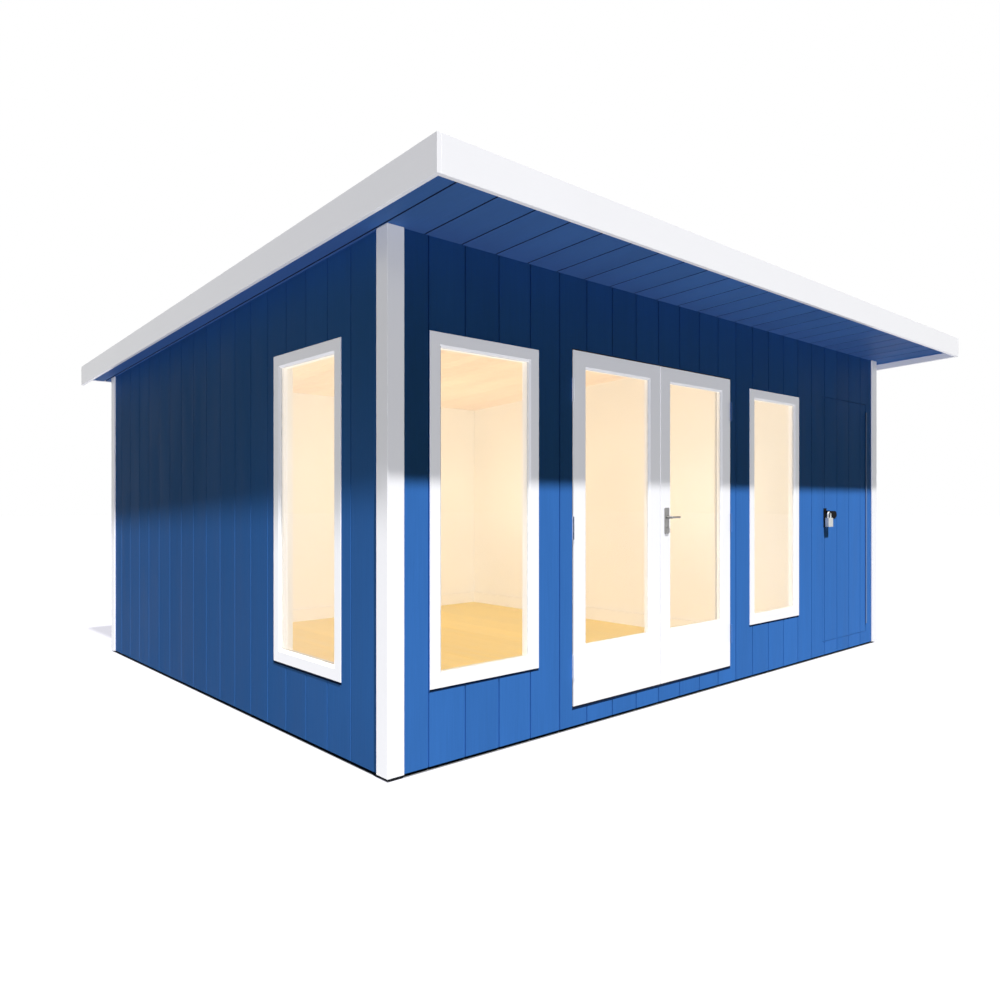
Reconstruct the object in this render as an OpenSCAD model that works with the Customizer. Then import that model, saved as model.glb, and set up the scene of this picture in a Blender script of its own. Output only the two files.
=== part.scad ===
// Garden office: a timber cabin with a mono-pitch roof, glazed double doors, three fixed windows
// and a store at the right-hand end behind a door clad like the wall.
// Millimetres. +Z is up and the front faces -Y. The origin is on the ground, in the middle of the
// roof's outline. Every module draws from the front-left corner of the walls, and place() moves it.

/* [Front elevation, from left to right] */
// Left corner to the left window
left_window_margin = 230; // [120:1:500]
// Left window to the double doors
window_to_doors = 255; // [120:1:500]
// Width of the double doors over both leaves
doors_w = 1498; // [1200:1:1900]
// Double doors to the right window
doors_to_window = 248; // [120:1:500]
// Right window to the face of the partition
window_to_partition = 56; // [30:1:300]
// Partition to the store door
partition_to_store_door = 255; // [120:1:500]
// Width of the store door
store_door_w = 758; // [600:1:950]
// Store door to the right corner
store_door_margin = 201; // [150:1:500]

/* [Building] */
// Depth over the corner posts
body_d = 3890; // [3000:10:5000]
// Top of the doors to the soffit, at the front wall
over_doors_h = 385; // [250:1:600]
// Fall of the roof towards the back, in degrees
roof_pitch = 3; // [1:0.1:5]
// Gap between the cladding and the ground
ground_gap = 15; // [5:1:40]

/* [Walls] */
// Thickness of the cladding boards
clad_t = 20; // [12:1:30]
// Thickness of the insulated stud frame behind the cladding
core_t = 82; // [60:1:150]
// Thickness of the inside lining
lining_t = 12; // [8:1:20]
// Thickness of the partition between office and store
partition_t = 63; // [45:1:120]
// Width of each face of a front corner post
post_face = 87; // [60:1:140]
// Width of each face of a rear corner post
rear_post_face = 76; // [40:1:140]
// Thickness of a corner post, which stands this proud of the cladding
post_t = 11; // [6:1:25]
// Height of the skirting board
skirting_h = 110; // [60:1:180]
// Thickness of the skirting board
skirting_t = 15; // [8:1:25]

/* [Floor] */
// Height of the bearers on the ground
bearer_h = 50; // [30:1:120]
// Width of one bearer
bearer_w = 70; // [40:1:120]
// Number of bearers from front to back
bearer_count = 6; // [3:1:10]
// How far the bearers stand back from the corners
bearer_setback = 60; // [35:1:150]
// Thickness of the floor deck
deck_t = 22; // [12:1:40]
// Thickness of the office floor boards on the deck
floor_t = 18; // [8:1:30]

/* [Roof] */
// Front overhang, to the outer face of the fascia
front_overhang = 570; // [300:5:900]
// Overhang at the sides and the back, to the outer face
side_overhang = 173; // [100:1:400]
// Thickness of the fascia and barge boards
fascia_t = 20; // [16:1:50]
// Height of the fascia and barge boards
fascia_h = 147; // [120:1:260]
// How far the front fascia and the barge boards hang below the soffit
fascia_drop = 45; // [0:1:60]
// How far the rear fascia hangs below the soffit
rear_fascia_drop = 2; // [0:1:60]
// Thickness of the soffit boards
soffit_t = 18; // [9:1:25]
// Thickness of the insulated roof panel
roof_panel_t = 76; // [40:1:90]
// Bedding between the wall heads and the roof panel
bedding = 0.3; // [0.2:0.1:0.9]
// Thickness of the roof membrane
membrane_t = 4; // [1:0.5:8]

/* [Windows] */
// Width over the frame
window_w = 678; // [450:1:1000]
// Height over the frame
window_h = 1591; // [900:1:1700]
// Underside of the frame above the ground
window_z = 356; // [200:1:900]
// Front corner to the side window
side_window_margin = 395; // [120:1:1500]
// Width of the frame members seen from the front
window_frame_w = 65; // [40:1:100]
// How far the frame stands proud of the cladding
window_proud = 4; // [2:1:10]
// Frame face to the glass
window_glass_recess = 14; // [11:1:60]

/* [Doors] */
// Underside of the leaves above the ground
door_z = 118; // [100:1:180]
// Height of the leaves
door_h = 1864; // [1700:1:2100]
// Thickness of the leaves
leaf_t = 50; // [35:1:60]
// How far the glazed leaves stand proud of the cladding
leaf_proud = 5; // [0:1:15]
// Gap round a leaf
leaf_gap = 6; // [5:0.5:10]
// Gap between the two glazed leaves
meeting_gap = 8; // [7:0.5:12]
// Width of the stiles
stile_w = 100; // [60:1:130]
// Height of the top rail
top_rail_h = 90; // [60:1:160]
// Height of the bottom rail
bottom_rail_h = 310; // [120:1:500]
// Leaf face to the glass
door_glass_recess = 12; // [11:1:20]
// Width of a jamb of the door frames
jamb_w = 45; // [30:1:70]
// How far the stops of the frames cover the leaves
stop_cover = 24; // [12:1:40]

/* [Glass] */
// Thickness of the sealed panes
glass_t = 24; // [6:1:28]
// How deep the panes sit in their grooves
glass_bite = 12; // [6:1:20]
// Width of the glazing bead round a pane
bead_w = 8; // [6:1:24]
// Frame or leaf face to the bead
bead_recess = 6; // [2:1:10]

/* [Hinges] */
// Length of a hinge of the glazed leaves
hinge_len = 120; // [75:1:160]
// Length of one knuckle of the continuous hinge on the store door
store_knuckle_h = 60; // [40:1:100]
// Radius of the knuckles
knuckle_r = 6; // [5:0.5:6.5]
// Radius of the pin
pin_r = 3; // [2:0.5:3.5]
// Running clearance round the pin and the lever spindle
running_fit = 0.05; // [0.02:0.01:0.1]
// Clearance between knuckles along the pin
knuckle_gap = 0.5; // [0.3:0.1:1]
// Leaf edge to the hinge axis, sideways
hinge_side = 3; // [2:0.5:5]
// Leaf face to the hinge axis, outward
hinge_out = 7; // [6:0.5:10]
// Depth of a hinge flap in the joint beside the leaf
flap_w = 36; // [20:1:45]
// Thickness of a hinge flap
flap_t = 2; // [1.5:0.1:2.3]
// Ends of a leaf to the nearest hinge
hinge_end = 150; // [100:1:300]

/* [Lever handle] */
// Width of the handle plates
plate_w = 38; // [30:1:55]
// Height of the handle plates
plate_h = 154; // [130:1:240]
// Radius of the corners of the handle plates
plate_corner_r = 8; // [2:0.5:12]
// Thickness of the handle plates
plate_t = 8; // [4:1:12]
// Edge of the leaf to the middle of the handle plates
plate_inset = 52; // [40:1:70]
// Middle of the handle plates above the ground
plate_z = 1075; // [900:1:1200]
// Lever axis above the middle of the plates
lever_rise = 20; // [15:1:50]
// Key cylinder below the middle of the plates
cylinder_drop = 38; // [25:1:60]
// Length of the lever from its axis to its tip
lever_len = 82; // [70:1:140]
// Radius of the lever bar
lever_r = 6; // [5:0.5:10]
// Radius of the neck that turns in the plates
neck_r = 8; // [6:0.5:10]
// Face of the plates to the middle of the lever bar
lever_reach = 34; // [30:1:60]

/* [Hasp and padlock] */
// Middle of the hasp above the ground
hasp_z = 1062; // [900:1:1200]
// Height of the cross plate
hasp_plate_h = 145; // [80:1:180]
// Width of the cross plate
hasp_plate_w = 44; // [30:1:60]
// Length of the strap
hasp_strap_len = 172; // [140:1:220]
// Height of the strap
hasp_strap_h = 56; // [35:1:60]
// Middle of the strap above the middle of the cross plate
strap_rise = 23; // [0:1:40]
// Thickness of the hasp plates
hasp_t = 4; // [3:0.5:6]
// Edge of the store door to the hasp
hasp_inset = 14; // [8:1:40]
// Left edge of the cross plate to the eye of the staple
eye_place = 36; // [30:1:40]
// Eye of the staple above the middle of the strap
eye_rise = 20; // [0:1:24]
// Radius of the hole in the eye
eye_hole_r = 8; // [6:0.5:10]
// Width of the padlock body
lock_w = 70; // [45:1:80]
// Height of the padlock body
lock_h = 68; // [40:1:90]
// Thickness of the padlock body
lock_t = 36; // [18:1:42]
// Radius of the upright corners of the padlock body
lock_corner_r = 8; // [3:0.5:12]
// Radius of the shackle wire
shackle_r = 6.5; // [3:0.5:8]
// Radius of the bow of the shackle, at the middle of the wire
bow_r = 22; // [14:0.5:26]
// Straight length of the shackle above the body
shackle_leg = 20; // [8:1:60]

/* [Hidden] */
$fn = 48;

// Places along the front, measured from the left corner
left_window_x = left_window_margin;
doors_x = left_window_x + window_w + window_to_doors;
right_window_x = doors_x + doors_w + doors_to_window;
partition_x = right_window_x + window_w + window_to_partition;
store_door_x = partition_x + partition_t + partition_to_store_door;
body_w = store_door_x + store_door_w + store_door_margin;

// Layers of a wall, measured inward from the face of the corner posts
clad_in = post_t;
core_in = clad_in + clad_t;
wall_in = core_in + core_t;
lined_in = wall_in + lining_t;

// Levels above the ground
deck_z = bearer_h;
core_z = deck_z + deck_t;
floor_z = core_z + floor_t;
door_top = door_z + door_h;
front_soffit_h = door_top + over_doors_h;
roof_slope = tan(roof_pitch);
ceiling_drop = soffit_t - lining_t;

// Glazed leaves and their frames
leaf_w = (doors_w - meeting_gap) / 2;
right_leaf_x = doors_x + leaf_w + meeting_gap;
leaf_in = clad_in - leaf_proud;
store_knuckles = 2 * floor(door_h / store_knuckle_h / 2) - 1;
store_hinge_len = store_knuckles * store_knuckle_h;
// Knuckles of a hinge of the glazed leaves, and how far each flap keeps from the other's knuckles
butt_knuckles = 3;
flap_clear = 1;
plate_x = right_leaf_x + plate_inset;
lever_z = plate_z + lever_rise;
spindle_room = 1;

// Eye of the hasp, and the padlock that hangs in it with a little play
eye_t = 5;
eye_rim = 4;
hang_gap = 0.4;
eye_x = store_door_x + hasp_inset + eye_place;
eye_z = hasp_z + strap_rise + eye_rise;
eye_reach = 3 * eye_hole_r;
padlock_y = clad_in - hasp_t - eye_reach;
bow_z = eye_z - eye_hole_r + hang_gap + shackle_r;

// How far a cut runs past the faces that it opens
over = 5;

cladding_blue = [0.22, 0.44, 0.74];
white = [0.95, 0.95, 0.95];
cream = [0.98, 0.91, 0.80];
timber = [0.55, 0.42, 0.28];
honey = [0.93, 0.74, 0.45];
glass_tint = [0.75, 0.85, 0.88, 0.35];
steel = [0.75, 0.76, 0.78];
black_iron = [0.10, 0.10, 0.11];

// Underside of the soffit at a distance behind the front corner
function soffit_z(y) = front_soffit_h - y * roof_slope;

// Moves a piece from the front-left corner of the walls to the part's own frame
module place() {
  translate([-body_w / 2, -(body_d + side_overhang - front_overhang) / 2, 0]) children();
}

// A box from its lowest corner to its highest
module block(low, high) {
  translate(low) cube(high - low);
}

// A rectangle with round corners, about its middle
module rounded_rect(w, h, r) {
  square([w - 2 * r, h], center = true);
  square([w, h - 2 * r], center = true);
  for (x = [r - w / 2, w / 2 - r], y = [r - h / 2, h / 2 - r]) translate([x, y]) circle(r = r);
}

// An outline drawn in depth and height, run along the width
module along_width(x0, x1) {
  translate([x0, 0, 0]) rotate([90, 0, 90]) linear_extrude(height = x1 - x0) children();
}

// A slab parallel to the roof, between two heights above the underside of the soffit
module roof_slab(x0, x1, y0, y1, low, high) {
  along_width(x0, x1) polygon([
    [y0, soffit_z(y0) + low], [y1, soffit_z(y1) + low],
    [y1, soffit_z(y1) + high], [y0, soffit_z(y0) + high]]);
}

// A slab with a level foot whose head follows the roof
module raked_slab(x0, x1, y0, y1, z0, head) {
  along_width(x0, x1) polygon([
    [y0, z0], [y1, z0], [y1, soffit_z(y1) + head], [y0, soffit_z(y0) + head]]);
}

// One bay of the front wall: cladding to the ground gap, stud frame on the deck
module front_bay(clad_x0, clad_x1, core_x0, core_x1, clad_z0, core_z0) {
  raked_slab(clad_x0, clad_x1, clad_in, core_in, clad_z0, soffit_t);
  raked_slab(core_x0, core_x1, core_in, wall_in, core_z0, soffit_t);
}

// The hole that a window frame fills, in a wall along the width
module window_hole(x) {
  block([x, clad_in - over, window_z], [x + window_w, lined_in + over, window_z + window_h]);
}

// The hole for the side window, through the left wall
module side_window_hole() {
  block([clad_in - over, side_window_margin, window_z],
    [lined_in + over, side_window_margin + window_w, window_z + window_h]);
}

// Floor

// Timbers that carry the floor and rest on the ground
module floor_bearers() {
  bearer_pitch = (body_d - 2 * bearer_setback - bearer_w) / (bearer_count - 1);
  color(timber) place() for (i = [0 : bearer_count - 1])
    translate([bearer_setback, bearer_setback + i * bearer_pitch, 0])
      cube([body_w - 2 * bearer_setback, bearer_w, bearer_h]);
}

module floor_deck() {
  color(timber) place()
    block([core_in, core_in, deck_z], [body_w - core_in, body_d - core_in, core_z]);
}

module office_floor() {
  color(honey) place()
    block([wall_in, wall_in, core_z], [partition_x, body_d - wall_in, floor_z]);
}

// Walls

// A side wall between the front and the back wall, drawn for the left
module side_wall() {
  raked_slab(clad_in, core_in, wall_in, body_d - wall_in, ground_gap, soffit_t);
  raked_slab(core_in, wall_in, wall_in, body_d - wall_in, core_z, soffit_t);
}

module left_wall() {
  color(cladding_blue) place() difference() {
    side_wall();
    side_window_hole();
  }
}

module right_wall() {
  color(cladding_blue) place() translate([body_w, 0, 0]) mirror([1, 0, 0]) side_wall();
}

module back_wall() {
  color(cladding_blue) place() {
    raked_slab(clad_in, body_w - clad_in, body_d - core_in, body_d - clad_in, ground_gap, soffit_t);
    raked_slab(clad_in, body_w - clad_in, body_d - wall_in, body_d - core_in, core_z, soffit_t);
  }
}

module front_wall_left() {
  color(cladding_blue) place() difference() {
    front_bay(clad_in, doors_x - leaf_gap, clad_in, doors_x - leaf_gap - jamb_w, ground_gap, core_z);
    window_hole(left_window_x);
  }
}

module front_wall_middle() {
  x0 = doors_x + doors_w + leaf_gap;
  x1 = store_door_x - leaf_gap;
  color(cladding_blue) place() difference() {
    front_bay(x0, x1, x0 + jamb_w, x1 - jamb_w, ground_gap, core_z);
    window_hole(right_window_x);
  }
}

module front_wall_right() {
  x0 = store_door_x + store_door_w + leaf_gap;
  color(cladding_blue) place()
    front_bay(x0, body_w - clad_in, x0 + jamb_w, body_w - clad_in, ground_gap, core_z);
}

// Wall over one doorway
module header(x, w) {
  z = door_top + leaf_gap;
  front_bay(x - leaf_gap, x + w + leaf_gap, x - leaf_gap - jamb_w, x + w + leaf_gap + jamb_w,
    z, z + jamb_w);
}

module front_wall_headers() {
  color(cladding_blue) place() {
    header(doors_x, doors_w);
    header(store_door_x, store_door_w);
  }
}

// Cladding below one doorway
module skirt(x, w) {
  block([x - leaf_gap, clad_in, ground_gap], [x + w + leaf_gap, core_in, door_z - leaf_gap]);
}

module front_wall_skirts() {
  color(cladding_blue) place() {
    skirt(doors_x, doors_w);
    skirt(store_door_x, store_door_w);
  }
}

module partition_wall() {
  color(cream) place()
    raked_slab(partition_x, partition_x + partition_t, wall_in, body_d - wall_in, core_z, soffit_t);
}

// The clear way through a door frame, from the inside face of the room
module doorway(x, w) {
  block([x + stop_cover, core_in, door_z + stop_cover],
    [x + w - stop_cover, lined_in + over, door_top - stop_cover]);
}

// Lining on the left, back and front walls of the office, fused at its corners
module office_lining() {
  color(cream) place() difference() {
    raked_slab(wall_in, partition_x, wall_in, body_d - wall_in, floor_z, ceiling_drop);
    block([lined_in, lined_in, 0], [partition_x + over, body_d - lined_in, 2 * front_soffit_h]);
    side_window_hole();
    window_hole(left_window_x);
    window_hole(right_window_x);
    doorway(doors_x, doors_w);
  }
}

// Lining on the front, right and back walls of the store
module store_lining() {
  x0 = partition_x + partition_t;
  color(timber) place() difference() {
    raked_slab(x0, body_w - wall_in, wall_in, body_d - wall_in, core_z, ceiling_drop);
    block([x0 - over, lined_in, 0],
      [body_w - lined_in, body_d - lined_in, 2 * front_soffit_h]);
    doorway(store_door_x, store_door_w);
  }
}

module ceiling_lining() {
  color(cream) place() {
    roof_slab(wall_in, partition_x, wall_in, body_d - wall_in, ceiling_drop, soffit_t);
    roof_slab(partition_x + partition_t, body_w - wall_in, wall_in, body_d - wall_in,
      ceiling_drop, soffit_t);
  }
}

// Skirting round the office, open at the double doors
module skirting_boards() {
  low = [lined_in, lined_in, floor_z];
  high = [partition_x, body_d - lined_in, floor_z + skirting_h];
  board = [skirting_t, skirting_t, 0];
  color(white) place() difference() {
    block(low, high);
    block(low + board - [0, 0, over], high - board + [0, 0, over]);
    block([doors_x, 0, 0], [doors_x + doors_w, lined_in + skirting_t + over, door_top]);
  }
}

// Roof

module roof_panel() {
  inset = side_overhang - fascia_t;
  color(timber) place()
    roof_slab(-inset, body_w + inset, fascia_t - front_overhang, body_d + inset,
      soffit_t + bedding, soffit_t + bedding + roof_panel_t);
}

module roof_membrane() {
  inset = side_overhang - fascia_t;
  low = soffit_t + bedding + roof_panel_t;
  color(black_iron) place()
    roof_slab(-inset, body_w + inset, fascia_t - front_overhang, body_d + inset,
      low, low + membrane_t);
}

// Boarded underside of the overhang, a ring round the walls
module soffit_boards() {
  inset = side_overhang - fascia_t;
  color(cladding_blue) place() difference() {
    roof_slab(-inset, body_w + inset, fascia_t - front_overhang, body_d + inset, 0, soffit_t);
    block([clad_in, clad_in, 0], [body_w - clad_in, body_d - clad_in, 2 * front_soffit_h]);
  }
}

// A board at the roof's edge, from below the soffit to above the membrane
module edge_board(x0, x1, y0, y1, drop) {
  color(white) place() roof_slab(x0, x1, y0, y1, -drop, fascia_h - fascia_drop);
}

// A fascia between the barge boards
module fascia(y0, drop) {
  inset = side_overhang - fascia_t;
  edge_board(-inset, body_w + inset, y0, y0 + fascia_t, drop);
}

// A barge board over the ends of both fascias
module barge_board(x0) {
  edge_board(x0, x0 + fascia_t, -front_overhang, body_d + side_overhang, fascia_drop);
}

module front_fascia() { fascia(-front_overhang, fascia_drop); }
module rear_fascia() { fascia(body_d + side_overhang - fascia_t, rear_fascia_drop); }
module left_barge_board() { barge_board(-side_overhang); }
module right_barge_board() { barge_board(body_w + side_overhang - fascia_t); }

// An angle section over a corner of the walls, cut off under the soffit
module corner_post(x, y, turn_x, turn_y, face) {
  color(white) place() intersection() {
    translate([x, y, ground_gap]) linear_extrude(height = front_soffit_h)
      scale([turn_x, turn_y]) difference() {
        square(face);
        translate([post_t, post_t]) square(face);
      }
    raked_slab(0, body_w, 0, body_d, 0, -bedding);
  }
}

module front_left_post() { corner_post(0, 0, 1, 1, post_face); }
module front_right_post() { corner_post(body_w, 0, -1, 1, post_face); }
module rear_left_post() { corner_post(0, body_d, 1, -1, rear_post_face); }
module rear_right_post() { corner_post(body_w, body_d, -1, -1, rear_post_face); }

// Windows

// Glass with its edges in the grooves of a frame or leaf
module pane(w, h, recess, left, low, right, high) {
  block([left - glass_bite, recess, low - glass_bite],
    [w - right + glass_bite, recess + glass_t, h - high + glass_bite]);
}

module window_pane() {
  pane(window_w, window_h, window_glass_recess,
    window_frame_w, window_frame_w, window_frame_w, window_frame_w);
}

// Opens a frame or leaf for its pane: the clear view, the step in front of the bead, and the groove
module glazing(w, h, depth, left, low, right, high) {
  block([left, -over, low], [w - right, depth + over, h - high]);
  block([left - bead_w, -over, low - bead_w], [w - right + bead_w, bead_recess, h - high + bead_w]);
}

// A frame as deep as the lined wall, grooved for its pane
module window_frame() {
  depth = lined_in - clad_in + window_proud;
  color(white) difference() {
    cube([window_w, depth, window_h]);
    glazing(window_w, window_h, depth,
      window_frame_w, window_frame_w, window_frame_w, window_frame_w);
    window_pane();
  }
}

module at_front_window(x) {
  translate([x, clad_in - window_proud, window_z]) children();
}

module at_side_window() {
  translate([clad_in - window_proud, side_window_margin + window_w, window_z])
    rotate([0, 0, -90]) children();
}

module front_left_window_frame() { place() at_front_window(left_window_x) window_frame(); }
module front_right_window_frame() { place() at_front_window(right_window_x) window_frame(); }
module side_window_frame() { place() at_side_window() window_frame(); }

module window_glass() {
  color(glass_tint) place() {
    at_front_window(left_window_x) window_pane();
    at_front_window(right_window_x) window_pane();
    at_side_window() window_pane();
  }
}

// Doors

// A rebated frame behind the cladding: jambs, head, sill, and stops behind the leaf
module door_frame(x, w, proud) {
  stop_y = clad_in - proud + leaf_t + leaf_gap;
  edge = leaf_gap + jamb_w;
  color(white) place() difference() {
    block([x - edge, core_in, core_z], [x + w + edge, wall_in, door_top + edge]);
    block([x - leaf_gap, core_in - over, door_z - leaf_gap],
      [x + w + leaf_gap, stop_y, door_top + leaf_gap]);
    doorway(x, w);
  }
}

module double_door_frame() { door_frame(doors_x, doors_w, leaf_proud); }
module store_door_frame() { door_frame(store_door_x, store_door_w, 0); }

module leaf_pane() {
  pane(leaf_w, door_h, door_glass_recess, stile_w, bottom_rail_h, stile_w, top_rail_h);
}

// A leaf of stiles and rails, grooved for its pane
module glazed_leaf() {
  difference() {
    cube([leaf_w, leaf_t, door_h]);
    glazing(leaf_w, door_h, leaf_t, stile_w, bottom_rail_h, stile_w, top_rail_h);
    leaf_pane();
  }
}

module at_left_leaf() { translate([doors_x, leaf_in, door_z]) children(); }
module at_right_leaf() { translate([right_leaf_x, leaf_in, door_z]) children(); }

module left_door_leaf() { color(white) place() at_left_leaf() glazed_leaf(); }
module left_door_glass() { color(glass_tint) place() at_left_leaf() leaf_pane(); }
module right_door_glass() { color(glass_tint) place() at_right_leaf() leaf_pane(); }

module right_door_leaf() {
  color(white) place() difference() {
    at_right_leaf() glazed_leaf();
    translate([plate_x, leaf_in - over, lever_z]) rotate([-90, 0, 0])
      cylinder(r = neck_r + spindle_room, h = leaf_t + 2 * over);
  }
}

// A leaf clad like the wall, flush with it
module store_door_leaf() {
  color(cladding_blue) place()
    block([store_door_x, clad_in, door_z], [store_door_x + store_door_w, clad_in + leaf_t, door_top]);
}

// Hinges, drawn on their axis with the leaf towards +X

// A flap in the joint beside the leaf, and every other knuckle on its own web
module hinge_half(x, first, knuckles, knuckle_h, gap) {
  flap_y = knuckle_r + flap_clear;
  block([x, flap_y, 0], [x + flap_t, hinge_out + flap_w, knuckles * knuckle_h]);
  for (i = [first : 2 : knuckles - 1]) translate([0, 0, i * knuckle_h + gap]) {
    cylinder(r = knuckle_r, h = knuckle_h - 2 * gap);
    block([x, 0, 0], [x + flap_t, flap_y, knuckle_h - 2 * gap]);
  }
}

// The outer knuckles with the pin, and the flap on the frame
module fixed_hinge(knuckles, knuckle_h) {
  hinge_half(hinge_side - leaf_gap, 0, knuckles, knuckle_h, 0);
  cylinder(r = pin_r, h = knuckles * knuckle_h);
}

// The bored knuckles between them, and the flap on the leaf
module leaf_hinge(knuckles, knuckle_h) {
  difference() {
    hinge_half(hinge_side - flap_t, 1, knuckles, knuckle_h, knuckle_gap);
    translate([0, 0, -over]) cylinder(r = pin_r + running_fit, h = knuckles * knuckle_h + 2 * over);
  }
}

// Puts a hinge half on the axis at a leaf's edge, turned over for a leaf that hangs on its right
module on_axis(x, leaf_face, turn, z) {
  translate([x - turn * hinge_side, leaf_face - hinge_out, z])
    if (turn > 0) children(); else mirror([1, 0, 0]) children();
}

// Three hinges up the edge of a glazed leaf
module hinge_row(x, turn) {
  first = door_z + hinge_end;
  last = door_top - hinge_end - hinge_len;
  for (z = [first, (first + last) / 2, last]) on_axis(x, leaf_in, turn, z) children();
}

// One hinge all the way up the store door
module store_hinge_place() {
  on_axis(store_door_x + store_door_w, clad_in, -1, door_z + (door_h - store_hinge_len) / 2)
    children();
}

module frame_hinges() {
  color(steel) place() {
    hinge_row(doors_x, 1) fixed_hinge(butt_knuckles, hinge_len / butt_knuckles);
    hinge_row(doors_x + doors_w, -1) fixed_hinge(butt_knuckles, hinge_len / butt_knuckles);
    store_hinge_place() fixed_hinge(store_knuckles, store_knuckle_h);
  }
}

module left_door_hinges() {
  color(steel) place() hinge_row(doors_x, 1) leaf_hinge(butt_knuckles, hinge_len / butt_knuckles);
}

module right_door_hinges() {
  color(steel) place()
    hinge_row(doors_x + doors_w, -1) leaf_hinge(butt_knuckles, hinge_len / butt_knuckles);
}

module store_door_hinge() {
  color(steel) place() store_hinge_place() leaf_hinge(store_knuckles, store_knuckle_h);
}

// Lever handle

// A plate with rounded corners, its key cylinder, and the bore that the lever turns in
module handle_plate() {
  rotate([-90, 0, 0]) difference() {
    union() {
      linear_extrude(height = plate_t) rounded_rect(plate_w, plate_h, plate_corner_r);
      translate([0, cylinder_drop, -plate_t / 4]) cylinder(r = neck_r, h = plate_t);
    }
    translate([0, -lever_rise, -over]) cylinder(r = neck_r + running_fit, h = plate_t + 2 * over);
  }
}

module door_handle_plates() {
  color(steel) place() {
    translate([plate_x, leaf_in - plate_t, plate_z]) handle_plate();
    translate([plate_x, leaf_in + leaf_t + plate_t, plate_z]) mirror([0, 1, 0]) handle_plate();
  }
}

// The bar of one lever, with a round tip
module lever_bar() {
  rotate([0, 90, 0]) cylinder(r = lever_r, h = lever_len - lever_r);
  sphere(r = lever_r);
  translate([lever_len - lever_r, 0, 0]) sphere(r = lever_r);
}

// Both levers on the spindle that passes through the leaf
module door_lever() {
  outer = leaf_in - plate_t - lever_reach;
  inner = leaf_in + leaf_t + plate_t + lever_reach;
  color(steel) place() translate([plate_x, 0, lever_z]) {
    translate([0, outer, 0]) rotate([-90, 0, 0]) cylinder(r = neck_r, h = inner - outer);
    for (y = [outer, inner]) translate([0, y, 0]) lever_bar();
  }
}

// Hasp and padlock

// A cross plate and a strap on the store door, with the eye that the padlock hangs in
module store_hasp() {
  x0 = store_door_x + hasp_inset;
  x1 = x0 + hasp_plate_w;
  x2 = x1 + hasp_strap_len;
  face = clad_in - hasp_t;
  strap_z = hasp_z + strap_rise;
  end_r = hasp_strap_h / 2;
  eye_r = eye_hole_r + eye_rim;
  color(black_iron) place() difference() {
    union() {
      block([x0, face, hasp_z - hasp_plate_h / 2], [x1, clad_in, hasp_z + hasp_plate_h / 2]);
      block([x1, face, strap_z - end_r], [x2 - end_r, clad_in, strap_z + end_r]);
      translate([x2 - end_r, face, strap_z]) rotate([-90, 0, 0]) cylinder(r = end_r, h = hasp_t);
      translate([x1, face, strap_z - end_r]) cylinder(r = hasp_t, h = hasp_strap_h);
      block([eye_x - eye_t / 2, padlock_y, eye_z - eye_r], [eye_x + eye_t / 2, face, eye_z + eye_r]);
      translate([eye_x - eye_t / 2, padlock_y, eye_z]) rotate([0, 90, 0]) cylinder(r = eye_r, h = eye_t);
    }
    translate([eye_x - eye_t, padlock_y, eye_z]) rotate([0, 90, 0])
      cylinder(r = eye_hole_r, h = 2 * eye_t);
  }
}

// A body with round corners, hanging by its shackle from the eye
module store_padlock() {
  leg_z = bow_z - bow_r;
  body_top = leg_z - shackle_leg;
  color(steel) place() translate([eye_x, padlock_y, 0]) {
    translate([0, 0, body_top - lock_h]) linear_extrude(height = lock_h)
      rounded_rect(lock_w, lock_t, lock_corner_r);
    for (x = [-bow_r, bow_r]) translate([x, 0, body_top]) cylinder(r = shackle_r, h = shackle_leg);
    translate([0, 0, leg_z]) rotate([90, 0, 0]) rotate_extrude(angle = 180)
      translate([bow_r, 0]) circle(r = shackle_r);
  }
}

floor_bearers();
floor_deck();
office_floor();
left_wall();
right_wall();
back_wall();
front_wall_left();
front_wall_middle();
front_wall_right();
front_wall_headers();
front_wall_skirts();
partition_wall();
office_lining();
store_lining();
ceiling_lining();
skirting_boards();
roof_panel();
roof_membrane();
soffit_boards();
front_fascia();
rear_fascia();
left_barge_board();
right_barge_board();
front_left_post();
front_right_post();
rear_left_post();
rear_right_post();
front_left_window_frame();
front_right_window_frame();
side_window_frame();
window_glass();
double_door_frame();
store_door_frame();
left_door_leaf();
left_door_glass();
right_door_leaf();
right_door_glass();
store_door_leaf();
frame_hinges();
left_door_hinges();
right_door_hinges();
store_door_hinge();
door_handle_plates();
door_lever();
store_hasp();
store_padlock();
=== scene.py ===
"""Looks of the garden office: boards, joinery, glass, ironmongery, finishes, light and camera.

Everything is in metres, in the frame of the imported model: +X right along the front, +Y to the back,
+Z up. A wall is drawn as seen from outside: a runs from left to right, d runs inward, t runs up.
"""
import math
import random

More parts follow.
